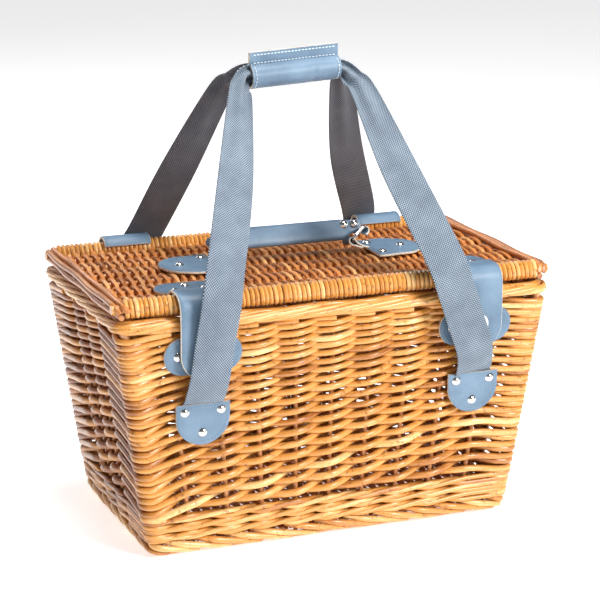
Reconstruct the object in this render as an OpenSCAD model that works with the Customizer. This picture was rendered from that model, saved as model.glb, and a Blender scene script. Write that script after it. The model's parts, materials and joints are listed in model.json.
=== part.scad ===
// Lidded picnic basket in woven willow, with leather fittings and webbing carry straps.
// Origin: centre of the foot, on the ground. +Z up, -Y is the front with the latches.

/* [Basket] */
// Width over the rim border
rim_w = 440; // [430:1:450]
// Depth over the rim border
rim_d = 254; // [252:1:256]
// Width over the foot border
foot_w = 374; // [364:1:384]
// Depth over the foot border
foot_d = 220; // [216:1:224]
// Height of the rim above the ground
body_h = 236; // [234:1:238]
// Thickness of the woven walls
wall_t = 12; // [10:1:13]
// Radius of the wrapped corners
corner_r = 14; // [12:1:16]
// Height of the rim border
rim_h = 14; // [12:1:16]
// Height of the foot border
foot_h = 18; // [16:1:20]
// Depth of the rim and foot borders, outside to inside
border_t = 14; // [12:1:16]

/* [Lid] */
// Width of the lid
lid_w = 439; // [430:1:440]
// Depth of the lid
lid_d = 242; // [240:1:243]
// Diameter of the wrapped front and rear edges
roll_d = 19; // [18:1:20]
// Thickness of the woven lid panel
panel_t = 13; // [10:1:13]
// How far the lid panel lies below the top of its wrapped edges
panel_drop = 5.5; // [4:0.5:6]
// Width of the border rods at the two ends of the lid
end_w = 13; // [11:1:16]
// Gap between the rim and the closed lid
lid_gap = 0.5; // [0.5:0.5:1]

/* [Leather and webbing] */
// Distance of each latch, anchor and hinge from the middle of the basket
fitting_x = 137; // [132:1:142]
// Thickness of the leather
leather_t = 2.6; // [2:0.1:3]
// Width of a latch strap
latch_w = 48; // [44:1:50]
// Width of the webbing
webbing_w = 38; // [32:1:40]
// Thickness of the webbing
webbing_t = 1.6; // [1.2:0.1:1.8]
// Height of the middle of the carry grip
grip_z = 434; // [430:1:440]
// Length of the leather wrap round the grip
wrap_l = 90; // [80:1:92]
// Half of the distance between the two tabs of the lid handle
tab_x = 80; // [76:1:84]
// How far the lid handle lies back from upright, in degrees
handle_lean = 35; // [25:1:35]

/* [Rivets] */
// Diameter of a rivet head
rivet_d = 9; // [7:0.5:10]
// Diameter of a rivet shank
shank_d = 3.5; // [3:0.1:4]

/* [Hidden] */
$fn = 48;

willow = [0.80, 0.56, 0.29];
willow_dark = [0.66, 0.42, 0.22];
blue_leather = [0.40, 0.56, 0.70];
blue_webbing = [0.38, 0.46, 0.55];
steel = [0.78, 0.78, 0.76];

gap = 0.1;                         // clearance between pieces of one body
fit_gap = 0.05;                    // radial clearance of a shank or pin in its hole
plane_in = 1;                      // the wall planes start this far inside the foot border
rim_in = 2;                        // and end this far inside the rim border
wall_x0 = foot_w / 2 - plane_in;
wall_y0 = foot_d / 2 - plane_in;
wall_top = body_h - rim_h;
lean_x = atan((rim_w / 2 - rim_in - wall_x0) / wall_top);
lean_y = atan((rim_d / 2 - rim_in - wall_y0) / wall_top);
inner_x = foot_w / 2 - border_t;
inner_y = foot_d / 2 - border_t;

lid_z0 = body_h + lid_gap;         // underside of the closed lid
roll_r = roll_d / 2;
roll_y = lid_d / 2 - roll_r;
roll_z = lid_z0 + roll_r;
lid_top = lid_z0 + roll_d;
panel_top = lid_top - panel_drop;
panel_x = lid_w / 2 - end_w;
end_h = roll_d - 2;
hinge_y = rim_d / 2 - 0.5;         // the lid turns about this line
hinge_z = lid_z0 + 1.7;

anchor_w = 52;
anchor_top = 153;
anchor_gap = webbing_t + 0.2;      // the webbing lies between the anchor and the wall
anchor_holes = [[-17.5, -7], [17.5, -7], [0, -28]];
strap_hinge_y = wall_y0 + anchor_top * tan(lean_y) + anchor_gap + leather_t + 2.5;
strap_hinge_z = anchor_top + 1.3;

latch_z = 200;
patch_l = 75;
patch_h = 36;
patch_holes = [[-24, 0], [24, 0]];
plate_t = 1.4;
knob_rise = 3;
stem_r = 2.2;
tongue_y = rim_d / 2 + 4.6;        // back face of the hanging latch strap
bend_r = 16;                       // outer radius where the latch strap turns down
bend_y = tongue_y + leather_t - bend_r;
bend_z = lid_top + gap + leather_t - bend_r;
fold_z = bend_z - 1.5;
tongue_z = 178;
root_y = 80;
root_holes = [[-14, -10], [14, -10], [0, 6]];

leaf_top = 221;
leaf_h = 40;
leaf_rise = rim_in + 0.3;
leaf_holes = [[-17, -30], [17, -30]];
knuckle_r = 1.5;
web_t = 2;
loop_y = roll_y + 0.5;             // the hinge leather is a loose loop over the rear roll
loop_z = roll_z + 1;
loop_r = 13.4;
loop_start = -50;
loop_end = 158;

handle_y = 3;
handle_z = panel_top + gap + leather_t + 1.9;
tab_r = 32;
tab_flat = 24;
tab_holes = [[8, -20], [8, 20], [36, 0]];
ring_r = 1.5;
loop_at = [tab_x - 16, 6.5];       // the tab loop and the grip's end fold, each round one leg
fold_at = [tab_x - 2.5, 17];       // of the ring: [x, height above the handle axis]
loop_half = 9.2;
ring_half = 11.2;
side_t = 3.4;
grip_rise = 19;                    // handle axis to the middle of its grip
grip_w = 22;
grip_t = 9;
grip_half = tab_x - 24;
grip_end_w = 17;
end_rivets = [59, 70];

wrap_r = 13;
wrap_t = 2.2;
flange_h = 10;

// Path of a carry strap from its left end to its right end: [x, y, z, half width]
strap_path = [
    [-fitting_x, -strap_hinge_y, strap_hinge_z, webbing_w / 2],
    [-fitting_x, -strap_hinge_y - 2, strap_hinge_z + 4, webbing_w / 2],
    [-135, -138, 178, webbing_w / 2],
    [-131, -141, 212, webbing_w / 2],
    [-126, -144, 246, webbing_w / 2],
    [-120, -138, 274, webbing_w / 2],
    [-89, -81, 346, webbing_w / 2 - 1],
    [-64, -28, grip_z - 20, 13],
    [-57, -12, grip_z - 8, 10.5],
    [-49.5, -4, grip_z - 0.5, 8.5],
    [-36, -3.4, grip_z, 8.5],
    [36, -3.4, grip_z, 8.5],
    [49.5, -4, grip_z - 0.5, 8.5],
    [56, -12, grip_z - 8, 10.5],
    [62, -28, grip_z - 20, 13],
    [77, -81, 346, webbing_w / 2 - 1],
    [97, -138, 274, webbing_w / 2],
    [106, -144, 246, webbing_w / 2],
    [119, -141, 212, webbing_w / 2],
    [131, -138, 178, webbing_w / 2],
    [fitting_x, -strap_hinge_y - 2, strap_hinge_z + 4, webbing_w / 2],
    [fitting_x, -strap_hinge_y, strap_hinge_z, webbing_w / 2]
];

// Frames on the outer faces of the walls: +X along the wall, +Y up the wall, +Z outwards
module on_front() translate([0, -wall_y0, 0]) rotate([90 + lean_y, 0, 0]) children();
module on_rear() rotate([0, 0, 180]) on_front() children();
module on_left() rotate([0, 0, -90]) translate([0, -wall_x0, 0]) rotate([90 + lean_x, 0, 0]) children();
module on_right() rotate([0, 0, 180]) on_left() children();
module at_front(x, z) on_front() translate([x, z / cos(lean_y), 0]) children();
module at_rear(x, z) rotate([0, 0, 180]) at_front(-x, z) children();

module layer(z0, z1) translate([-rim_w, -rim_w, z0]) cube([2 * rim_w, 2 * rim_w, z1 - z0]);

// A flat leather or metal outline with two round ends
module stadium(l, w) {
    square([l - w, w], center = true);
    for (s = [-1, 1]) translate([s * (l - w) / 2, 0]) circle(d = w);
}

module holes(places, d) for (p = places) translate([p[0], p[1], -30]) cylinder(d = d, h = 60);

// A domed rivet through leather of thickness t and a wall behind it, with a washer inside
module rivet(t, depth) {
    head_h = rivet_d * 0.28;
    ball_r = (rivet_d * rivet_d / 4 + head_h * head_h) / (2 * head_h);
    translate([0, 0, t]) intersection() {
        translate([0, 0, head_h - ball_r]) sphere(r = ball_r);
        cylinder(d = rivet_d, h = head_h);
    }
    translate([0, 0, -depth - 1.1]) cylinder(d = shank_d, h = depth + t + 1.2);
    translate([0, 0, -depth - 1.1]) cylinder(d = rivet_d, h = 1);
}

// One corner post, wrapped by the weavers of both walls
module post(sx, sy, r) {
    dx = sx * tan(lean_x);
    dy = sy * tan(lean_y);
    tilt = acos(1 / norm([dx, dy, 1]));
    translate([sx * (wall_x0 - corner_r), sy * (wall_y0 - corner_r), 0])
        rotate([0, tilt, atan2(dy, dx)])
            translate([0, 0, -20]) cylinder(r = r, h = body_h + 60, $fn = 12);
}
module posts(r) for (sx = [-1, 1], sy = [-1, 1]) post(sx, sy, r);

module corner_posts() color(willow) intersection() {
    posts(corner_r);
    layer(foot_h + gap, wall_top - gap);
}

// A woven wall: a leaning slab between two corner posts
module wall(w0, lean_side) {
    half0 = w0 - corner_r;
    half1 = half0 + body_h * tan(lean_side);
    translate([0, 0, -wall_t]) linear_extrude(wall_t)
        polygon([[-half0, 0], [half0, 0], [half1, body_h * 1.01], [-half1, body_h * 1.01]]);
}
module between_borders() intersection() {
    children();
    layer(foot_h + gap, wall_top - gap);
}

module front_holes() {
    for (sx = [-1, 1]) {
        at_front(sx * fitting_x, anchor_top) holes(anchor_holes, shank_d + 2 * fit_gap);
        at_front(sx * fitting_x, latch_z) holes(patch_holes, shank_d + 2 * fit_gap);
    }
}
module rear_holes() {
    for (sx = [-1, 1]) {
        at_rear(sx * fitting_x, anchor_top) holes(anchor_holes, shank_d + 2 * fit_gap);
        at_rear(sx * fitting_x, leaf_top) holes(leaf_holes, shank_d + 2 * fit_gap);
    }
}
module front_wall() color(willow) difference() {
    between_borders() on_front() wall(wall_x0, lean_x);
    posts(corner_r + gap);
    front_holes();
}
module rear_wall() color(willow) difference() {
    between_borders() on_rear() wall(wall_x0, lean_x);
    posts(corner_r + gap);
    rear_holes();
}
module left_wall() color(willow) difference() {
    between_borders() on_left() wall(wall_y0, lean_y);
    posts(corner_r + gap);
}
module right_wall() color(willow) difference() {
    between_borders() on_right() wall(wall_y0, lean_y);
    posts(corner_r + gap);
}

module base_panel() color(willow_dark)
    translate([gap - inner_x, gap - inner_y, 4])
        cube([2 * (inner_x - gap), 2 * (inner_y - gap), 10]);

// A border bar along the front edge of a w by d rectangle, and one along its left edge
module front_bar(w, d, z, h) translate([-w / 2, -d / 2, z]) cube([w, border_t, h]);
module side_bar(w, d, z, h) translate([-w / 2, -d / 2 + border_t + gap, z])
    cube([border_t, d - 2 * (border_t + gap), h]);

module front_rim() color(willow) front_bar(rim_w, rim_d, wall_top, rim_h);
module rear_rim() color(willow) rotate([0, 0, 180]) front_bar(rim_w, rim_d, wall_top, rim_h);
module left_rim() color(willow) side_bar(rim_w, rim_d, wall_top, rim_h);
module right_rim() color(willow) rotate([0, 0, 180]) side_bar(rim_w, rim_d, wall_top, rim_h);
module front_foot_border() color(willow) front_bar(foot_w, foot_d, 0, foot_h);
module rear_foot_border() color(willow) rotate([0, 0, 180]) front_bar(foot_w, foot_d, 0, foot_h);
module left_foot_border() color(willow) side_bar(foot_w, foot_d, 0, foot_h);
module right_foot_border() color(willow) rotate([0, 0, 180]) side_bar(foot_w, foot_d, 0, foot_h);

// Leather patch over the sewn end of a carry strap: straight top, round bottom
module anchor_outline() {
    translate([-anchor_w / 2, -14]) square([anchor_w, 14]);
    intersection() {
        translate([0, -14]) circle(d = anchor_w);
        translate([-anchor_w, -14 - anchor_w]) square([2 * anchor_w, anchor_w]);
    }
}
module anchor() color(blue_leather) difference() {
    translate([0, 0, anchor_gap]) linear_extrude(leather_t) anchor_outline();
    holes(anchor_holes, shank_d + 2 * fit_gap);
}
module front_anchor_left() at_front(-fitting_x, anchor_top) anchor();
module front_anchor_right() at_front(fitting_x, anchor_top) anchor();
module rear_anchor_left() at_rear(-fitting_x, anchor_top) anchor();
module rear_anchor_right() at_rear(fitting_x, anchor_top) anchor();

// The fixed end of the webbing, between anchor and wall
module strap_end() color(blue_webbing) difference() {
    translate([-webbing_w / 2, -32, gap]) cube([webbing_w, 31.5, webbing_t]);
    holes(anchor_holes, shank_d + 2 * fit_gap);
}
module front_strap_ends() for (sx = [-1, 1]) at_front(sx * fitting_x, anchor_top) strap_end();
module rear_strap_ends() for (sx = [-1, 1]) at_rear(sx * fitting_x, anchor_top) strap_end();

module anchor_rivets() color(steel) for (sx = [-1, 1], p = anchor_holes) {
    at_front(sx * fitting_x, anchor_top) translate(p) rivet(anchor_gap + leather_t, wall_t);
    at_rear(sx * fitting_x, anchor_top) translate(p) rivet(anchor_gap + leather_t, wall_t);
}

// Leather patch behind each latch, with the metal turn lock on it
module latch_patch() color(blue_leather) difference() {
    translate([0, 0, gap]) linear_extrude(leather_t) stadium(patch_l, patch_h);
    holes(patch_holes, shank_d + 2 * fit_gap);
}
module latch_patch_left() at_front(-fitting_x, latch_z) latch_patch();
module latch_patch_right() at_front(fitting_x, latch_z) latch_patch();
module latch_patch_rivets() color(steel) for (sx = [-1, 1], p = patch_holes)
    at_front(sx * fitting_x, latch_z) translate(p) rivet(gap + leather_t, wall_t);

plate_z = gap + leather_t + gap;
module turn_lock_plate() color(steel) translate([0, 0, plate_z]) difference() {
    linear_extrude(plate_t) rotate(90) stadium(30, 20);
    translate([0, 0, -1]) cylinder(r = stem_r + fit_gap, h = plate_t + 2);
}
module turn_lock_plate_left() at_front(-fitting_x, latch_z) turn_lock_plate();
module turn_lock_plate_right() at_front(fitting_x, latch_z) turn_lock_plate();

module turn_knob() color(steel) {
    translate([0, 0, plate_z + gap]) cylinder(r = stem_r, h = plate_t + 1);
    translate([0, 0, plate_z + plate_t + 0.4]) linear_extrude(knob_rise - 0.4) rotate(90) stadium(14, 6);
}
module turn_knob_left() at_front(-fitting_x, latch_z) turn_knob();
module turn_knob_right() at_front(fitting_x, latch_z) turn_knob();

// Leather hinge: a leaf riveted to the rear wall and a loop round the lid's rear roll
module hinge_leaf() color(blue_leather) difference() {
    translate([-latch_w / 2, -leaf_h, leaf_rise]) cube([latch_w, leaf_h, leather_t]);
    holes(leaf_holes, shank_d + 2 * fit_gap);
}
module hinge_leaf_left() at_rear(-fitting_x, leaf_top) hinge_leaf();
module hinge_leaf_right() at_rear(fitting_x, leaf_top) hinge_leaf();
module hinge_rivets() color(steel) for (sx = [-1, 1], p = leaf_holes)
    at_rear(sx * fitting_x, leaf_top) translate(p) rivet(leaf_rise + leather_t, wall_t);

module hinge_loop() color(blue_leather) {
    drop = [hinge_y - loop_y, hinge_z - loop_z];
    opening = [for (i = [0:4]) loop_end + i * (360 + loop_start - loop_end) / 4];
    translate([-latch_w / 2, loop_y, loop_z]) rotate([90, 0, 90]) linear_extrude(latch_w) {
        difference() {
            circle(r = loop_r);
            circle(r = loop_r - leather_t);
            polygon(concat([[0, 0]], [for (a = opening) 2 * loop_r * [cos(a), sin(a)]]));
        }
        rotate(atan2(drop[1], drop[0])) translate([loop_r - 1, -web_t / 2])
            square([norm(drop) - loop_r + 1, web_t]);
        translate(drop) circle(r = knuckle_r);
    }
}
module hinge_loop_left() translate([-fitting_x, 0, 0]) hinge_loop();
module hinge_loop_right() translate([fitting_x, 0, 0]) hinge_loop();

module lid_holes() for (sx = [-1, 1]) {
    translate([sx * fitting_x, -root_y, panel_top]) holes(root_holes, shank_d + 2 * fit_gap);
    translate([sx * tab_x, handle_y, panel_top]) scale_x(sx) holes(tab_holes, shank_d + 2 * fit_gap);
}
module scale_x(s) mirror([s < 0 ? 1 : 0, 0, 0]) children();

module lid_panel() color(willow_dark) difference() {
    translate([gap - panel_x, -roll_y + roll_r + gap, panel_top - panel_t])
        cube([2 * (panel_x - gap), 2 * (roll_y - roll_r - gap), panel_t]);
    lid_holes();
}
module roll(sy) translate([gap - panel_x, sy * roll_y, roll_z])
    rotate([0, 90, 0]) cylinder(r = roll_r, h = 2 * (panel_x - gap));
module lid_front_roll() color(willow) roll(-1);
module lid_rear_roll() color(willow) roll(1);
module lid_end(sx) translate([sx * (panel_x + end_w / 2), 0, lid_z0 + end_h / 2])
    cube([end_w, lid_d, end_h], center = true);
module lid_end_left() color(willow_dark) lid_end(-1);
module lid_end_right() color(willow_dark) lid_end(1);

// Leather of a latch on the lid: riveted wings, then a step up and a bend over the front roll
module latch_root() color(blue_leather) {
    translate([0, -root_y, panel_top + gap]) difference() {
        linear_extrude(leather_t) stadium(60, 36);
        holes(root_holes, shank_d + 2 * fit_gap);
    }
    low = panel_top + gap;
    high = lid_top + gap;
    rise_y = root_y + 15;
    translate([-latch_w / 2, 0, 0]) rotate([90, 0, 90]) linear_extrude(latch_w) polygon([
        [-rise_y + 3, low + 0.2], [-rise_y, low + 0.2], [-rise_y - 10, high], [-bend_y - 1, high],
        [-bend_y - 1, high + leather_t], [-rise_y - 9, high + leather_t],
        [-rise_y + 1, low + leather_t - 0.2], [-rise_y + 3, low + leather_t - 0.2]
    ]);
    translate([-latch_w / 2, -bend_y, bend_z]) rotate([90, 0, 90]) linear_extrude(latch_w) difference() {
        circle(r = bend_r);
        circle(r = bend_r - leather_t);
        translate([0, -bend_r]) square([bend_r, 2 * bend_r]);
        translate([-bend_r, -bend_r]) square([bend_r + 1, bend_r]);
    }
}
module latch_root_left() translate([-fitting_x, 0, 0]) latch_root();
module latch_root_right() translate([fitting_x, 0, 0]) latch_root();
module latch_root_rivets() color(steel) for (sx = [-1, 1], p = root_holes)
    translate([sx * fitting_x, -root_y, panel_top]) translate(p) rivet(gap + leather_t, panel_t);

// The hanging tongue of a latch, with a metal slot plate that fits over the turn knob
tongue_l = fold_z - gap - tongue_z;
slot_y = latch_z - tongue_z;
module tongue_frame() translate([0, -tongue_y, tongue_z]) rotate([90, 0, 0]) children();
module tongue_slot() translate([0, slot_y, -1]) linear_extrude(10) rotate(90) stadium(18, 10);
module latch_tongue() color(blue_leather) tongue_frame() difference() {
    linear_extrude(leather_t) {
        translate([-latch_w / 2, latch_w / 2]) square([latch_w, tongue_l - latch_w / 2]);
        translate([0, latch_w / 2]) circle(d = latch_w);
    }
    tongue_slot();
}
module slot_plate() color(steel) tongue_frame() difference() {
    translate([0, slot_y, leather_t + 0.02]) linear_extrude(0.8) rotate(90) stadium(26, 18);
    tongue_slot();
}
module latch_tongue_left() translate([-fitting_x, 0, 0]) latch_tongue();
module latch_tongue_right() translate([fitting_x, 0, 0]) latch_tongue();
module slot_plate_left() translate([-fitting_x, 0, 0]) slot_plate();
module slot_plate_right() translate([fitting_x, 0, 0]) slot_plate();

// Lid handle: a riveted tab at each end, a loop that stands up from it, a ring and the grip
module on_tab(sx) translate([0, handle_y, panel_top]) scale_x(sx) translate([tab_x, 0, 0]) children();
module handle_tab() color(blue_leather) translate([0, 0, gap]) difference() {
    linear_extrude(leather_t) {
        translate([0, -tab_r]) square([tab_flat, 2 * tab_r]);
        intersection() {
            translate([tab_flat, 0]) circle(r = tab_r);
            translate([tab_flat, -tab_r]) square([tab_r, 2 * tab_r]);
        }
    }
    holes(tab_holes, shank_d + 2 * fit_gap);
}
module handle_tab_left() on_tab(-1) handle_tab();
module handle_tab_right() on_tab(1) handle_tab();
module handle_tab_rivets() color(steel) for (sx = [-1, 1], p = tab_holes)
    on_tab(sx) translate(p) rivet(gap + leather_t, panel_t);

// Frame of the handle: X through both loops, +Z towards the grip
module on_handle(sx) translate([0, handle_y, handle_z]) rotate([-handle_lean, 0, 0]) scale_x(sx) children();
module bar_y(at, r, half) translate([at[0], half, at[1]]) rotate([90, 0, 0]) cylinder(r = r, h = 2 * half);
module handle_loop(sx) color(blue_leather) on_handle(sx) difference() {
    union() {
        bar_y(loop_at, ring_r + 2.6, loop_half);
        translate([loop_at[0] - leather_t / 2, -5, -1]) cube([leather_t, 10, loop_at[1]]);
        translate([loop_at[0], -5, -1]) cube([tab_x - 0.6 - loop_at[0], 10, leather_t]);
    }
    bar_y(loop_at, ring_r + gap, 2 * loop_half);
}
module handle_loop_left() handle_loop(-1);
module handle_loop_right() handle_loop(1);

module ring(sx) color(steel) on_handle(sx) {
    step = fold_at - loop_at;
    for (at = [loop_at, fold_at]) bar_y(at, ring_r, ring_half);
    translate([loop_at[0], 0, loop_at[1]]) rotate([0, atan2(step[0], step[1]), 0])
        for (sy = [-1, 1]) translate([0, sy * ring_half, norm(step) / 2])
            cube([side_t, side_t, norm(step) + side_t], center = true);
}
module handle_ring_left() ring(-1);
module handle_ring_right() ring(1);

module handle_grip() color(blue_leather) on_handle(1) difference() {
    union() {
        translate([-grip_half, -grip_t / 2, grip_rise - grip_w / 2]) cube([2 * grip_half, grip_t, grip_w]);
        translate([-fold_at[0], -grip_t / 2, grip_rise + grip_w / 2 - grip_end_w])
            cube([2 * fold_at[0], grip_t, grip_end_w]);
        for (s = [-1, 1]) scale_x(s) bar_y(fold_at, ring_r + 3, loop_half);
    }
    for (s = [-1, 1]) scale_x(s) {
        bar_y(fold_at, ring_r + gap, 2 * loop_half);
        for (x = end_rivets) bar_y([x, grip_rise + 4], shank_d / 2 + fit_gap, 2 * grip_t);
    }
}
module handle_grip_rivets() color(steel) on_handle(1) for (s = [-1, 1], x = end_rivets)
    translate([s * x, -grip_t / 2, grip_rise + 4]) rotate([90, 0, 0]) rivet(gap, grip_t);

// A flat ribbon swept along a path: each ring lies across the path, its width in the XZ plane
function tangent(p, i) = let (a = p[max(i - 1, 0)], b = p[min(i + 1, len(p) - 1)],
    d = [b[0] - a[0], b[1] - a[1], b[2] - a[2]]) d / norm(d);
function across(t) = let (w = [t[2], 0, -t[0]]) w / norm(w);
function ring_points(p, i) = let (c = [p[i][0], p[i][1], p[i][2]], t = tangent(p, i),
    w = across(t) * p[i][3], n = cross(t, across(t)) * webbing_t / 2)
    [c - w - n, c + w - n, c + w + n, c - w + n];
module ribbon(path) {
    last = len(path) - 1;
    points = [for (i = [0:last]) each ring_points(path, i)];
    lower = [for (i = [0:last - 1], k = [0:3]) [4 * i + k, 4 * i + (k + 1) % 4, 4 * i + 4 + k]];
    upper = [for (i = [0:last - 1], k = [0:3])
        [4 * i + (k + 1) % 4, 4 * i + 4 + (k + 1) % 4, 4 * i + 4 + k]];
    ends = [[3, 2, 1, 0], [4 * last, 4 * last + 1, 4 * last + 2, 4 * last + 3]];
    polyhedron(points, concat(lower, upper, ends), convexity = 6);
}
module front_carry_strap() color(blue_webbing) ribbon(strap_path);
module rear_carry_strap() color(blue_webbing) mirror([0, 1, 0]) ribbon(strap_path);

// Half of the leather grip wrap: a half tube along X with one leaf of the flange on top
module half_wrap() translate([-wrap_l / 2, 0, grip_z]) rotate([90, 0, 90]) {
    rotate([0, 0, 90]) rotate_extrude(angle = 178) translate([wrap_r - wrap_t, 0]) square([wrap_t, wrap_l]);
    translate([-wrap_t - 0.1, wrap_r - 1.2, 0]) cube([wrap_t, flange_h, wrap_l]);
}
module front_grip_wrap() color(blue_leather) half_wrap();
module rear_grip_wrap() color(blue_leather) rotate([0, 0, 180]) half_wrap();

base_panel();
front_wall();
rear_wall();
left_wall();
right_wall();
corner_posts();
front_rim();
rear_rim();
left_rim();
right_rim();
front_foot_border();
rear_foot_border();
left_foot_border();
right_foot_border();
front_anchor_left();
front_anchor_right();
rear_anchor_left();
rear_anchor_right();
front_strap_ends();
rear_strap_ends();
anchor_rivets();
latch_patch_left();
latch_patch_right();
latch_patch_rivets();
turn_lock_plate_left();
turn_lock_plate_right();
hinge_leaf_left();
hinge_leaf_right();
hinge_rivets();
lid_panel();
lid_front_roll();
lid_rear_roll();
lid_end_left();
lid_end_right();
hinge_loop_left();
hinge_loop_right();
latch_root_left();
latch_root_right();
latch_root_rivets();
handle_tab_left();
handle_tab_right();
handle_tab_rivets();
latch_tongue_left();
latch_tongue_right();
slot_plate_left();
slot_plate_right();
turn_knob_left();
turn_knob_right();
handle_grip();
handle_loop_left();
handle_loop_right();
handle_ring_left();
handle_ring_right();
handle_grip_rivets();
front_carry_strap();
rear_carry_strap();
front_grip_wrap();
rear_grip_wrap();
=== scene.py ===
import json
import math
import random

import bpy
from mathutils import Matrix, Vector


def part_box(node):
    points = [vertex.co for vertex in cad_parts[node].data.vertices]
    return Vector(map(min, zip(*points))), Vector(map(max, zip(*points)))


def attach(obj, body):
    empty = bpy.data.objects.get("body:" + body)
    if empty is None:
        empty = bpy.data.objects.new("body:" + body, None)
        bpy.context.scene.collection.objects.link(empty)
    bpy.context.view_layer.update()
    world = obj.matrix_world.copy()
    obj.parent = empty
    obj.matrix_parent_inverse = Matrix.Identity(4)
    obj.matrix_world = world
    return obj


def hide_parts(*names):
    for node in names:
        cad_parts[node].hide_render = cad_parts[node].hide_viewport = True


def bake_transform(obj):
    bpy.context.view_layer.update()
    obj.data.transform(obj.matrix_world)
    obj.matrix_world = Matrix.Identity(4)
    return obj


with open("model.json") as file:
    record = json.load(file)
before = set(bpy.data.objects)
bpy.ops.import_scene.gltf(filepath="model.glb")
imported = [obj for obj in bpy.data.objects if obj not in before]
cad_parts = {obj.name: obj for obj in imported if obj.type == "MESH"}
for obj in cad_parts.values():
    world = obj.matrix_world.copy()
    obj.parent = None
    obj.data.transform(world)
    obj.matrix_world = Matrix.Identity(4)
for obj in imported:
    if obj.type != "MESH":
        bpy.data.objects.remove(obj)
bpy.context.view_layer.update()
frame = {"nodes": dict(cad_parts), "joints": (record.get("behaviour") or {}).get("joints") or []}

# Lengths below are in millimetres, and MM turns them into metres when a mesh is made.
MM = 0.001
rnd = random.Random(11)
LEATHER_THICK = 2.6
RIB_PITCH = 2.6        # from rib to rib of the webbing
GRAIN = 0.045          # how fast the streaks change along a rod


def ease(u):
    u = max(0.0, min(1.0, u))
    return u * u * (3 - 2 * u)


def node_box(name):
    low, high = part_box(name)
    return low / MM, high / MM


def joint_at(name):
    return [c / MM for j in frame["joints"] if j["name"] == name for c in j["pos_m"]]


# ---------------------------------------------------------------- shaders

def new_material(name):
    m = bpy.data.materials.new(name)
    m.use_nodes = True
    tree = m.node_tree
    shader = tree.nodes["Principled BSDF"]
    return m, tree, shader


def add(tree, kind, **values):
    n = tree.nodes.new(kind)
    for key, value in values.items():
        setattr(n, key, value)
    return n


def noise(tree, vector, scale, detail=3.0, rough=0.55):
    n = add(tree, "ShaderNodeTexNoise")
    n.inputs["Scale"].default_value = scale
    n.inputs["Detail"].default_value = detail
    n.inputs["Roughness"].default_value = rough
    tree.links.new(vector, n.inputs["Vector"])
    return n.outputs["Fac"]


def ramp(tree, value, stops):
    n = add(tree, "ShaderNodeValToRGB")
    els = n.color_ramp.elements
    while len(els) < len(stops):
        els.new(0.5)
    for e, (pos, colour) in zip(els, stops):
        e.position = pos
        e.color = (*colour, 1)
    tree.links.new(value, n.inputs["Fac"])
    return n.outputs["Color"]


def math_node(tree, op, a, b=None):
    n = add(tree, "ShaderNodeMath", operation=op)
    for socket, value in zip(n.inputs, (a, b)):
        if value is None:
            continue
        if isinstance(value, (int, float)):
            socket.default_value = value
        else:
            tree.links.new(value, socket)
    return n.outputs["Value"]


def mix(tree, factor, a, b, kind="MIX"):
    n = add(tree, "ShaderNodeMix", data_type="RGBA", blend_type=kind)
    for socket, value in ((n.inputs["Factor"], factor), (n.inputs[6], a), (n.inputs[7], b)):
        if isinstance(value, (int, float)):
            socket.default_value = value
        elif isinstance(value, tuple):
            socket.default_value = (*value, 1)
        else:
            tree.links.new(value, socket)
    return n.outputs[2]


def bump(tree, shader, height, strength, distance):
    n = add(tree, "ShaderNodeBump")
    n.inputs["Strength"].default_value = strength
    n.inputs["Distance"].default_value = distance
    tree.links.new(height, n.inputs["Height"])
    tree.links.new(n.outputs["Normal"], shader.inputs["Normal"])


def attribute(tree, name):
    return add(tree, "ShaderNodeAttribute", attribute_name=name)


def object_coords(tree):
    return add(tree, "ShaderNodeTexCoord").outputs["Object"]


def map_range(tree, value, low, high):
    n = add(tree, "ShaderNodeMapRange")
    n.inputs["To Min"].default_value = low
    n.inputs["To Max"].default_value = high
    tree.links.new(value, n.inputs["Value"])
    return n.outputs["Result"]


def willow(name, dark, mid, pale, roughness):
    """Varnished rod: long streaks along it, its own tone from rod to rod, and darker scars."""
    m, t, s = new_material(name)
    along = attribute(t, "rod_place").outputs["Vector"]
    tone = attribute(t, "rod_tone").outputs["Fac"]
    streak = noise(t, along, 1.0, 4.0, 0.6)
    blotch = noise(t, object_coords(t), 26.0, 2.0)
    value = math_node(t, "ADD", math_node(t, "MULTIPLY", tone, 0.5),
                      math_node(t, "MULTIPLY", streak, 0.42))
    value = math_node(t, "ADD", value, math_node(t, "MULTIPLY", blotch, 0.2))
    colour = ramp(t, value, [(0.22, dark), (0.48, mid), (0.66, mid), (0.88, pale)])
    scars = ramp(t, noise(t, object_coords(t), 210.0, 2.0),
                 [(0.30, (0.45, 0.34, 0.25)), (0.40, (1, 1, 1))])
    t.links.new(mix(t, 0.8, colour, scars, "MULTIPLY"), s.inputs["Base Color"])
    t.links.new(map_range(t, streak, roughness - 0.1, roughness + 0.14), s.inputs["Roughness"])
    s.inputs["Coat Weight"].default_value = 0.35
    s.inputs["Coat Roughness"].default_value = 0.22
    bump(t, s, streak, 0.25, 0.0006)
    return m


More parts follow.
